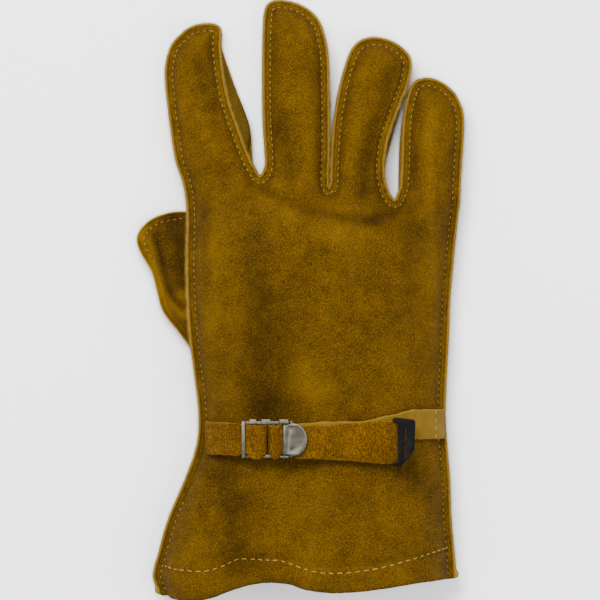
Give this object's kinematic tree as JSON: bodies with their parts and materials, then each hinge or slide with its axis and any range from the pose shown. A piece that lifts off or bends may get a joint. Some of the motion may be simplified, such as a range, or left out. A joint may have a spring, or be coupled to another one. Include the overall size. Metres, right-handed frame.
{
  "type": "leather firefighter glove",
  "caption": "Sewn leather work glove for the left hand, palm down with the thumb folded under, with a long cuff and a wrist strap with lever buckle.",
  "frame": {"origin": "centre of the base of the glove's bounding box, on the surface it lies on", "axes": "+Y from the cuff to the fingertips, +Z out of the back of the hand, +X towards the little finger"},
  "size_m": [0.1534, 0.2798, 0.0475],
  "materials": {
    "suede": "split cowhide, rough nap",
    "grain_leather": "smooth side of the same hide",
    "steel": "pressed sheet, worn nickel plating",
    "black_plastic": "moulded, satin"
  },
  "bodies": {
    "glove": {"back_panel": "suede", "palm_panel": "suede", "strip_index_middle": "suede", "strip_middle_ring": "suede", "strip_ring_little": "suede", "thumb_upper": "suede", "thumb_lower": "suede", "strap_anchor": "suede", "wrist_strap": "grain_leather", "buckle_frame": "steel", "strap_hook": "black_plastic"},
    "lever": {"buckle_lever": "steel"}
  },
  "joints": [
    {"name": "lever_hinge", "type": "hinge", "parent": "glove", "child": "lever", "pos_m": [-0.00708, -0.06588, 0.04462], "axis": [0, -1, 0], "range_deg": [0, 95]}
  ]
}
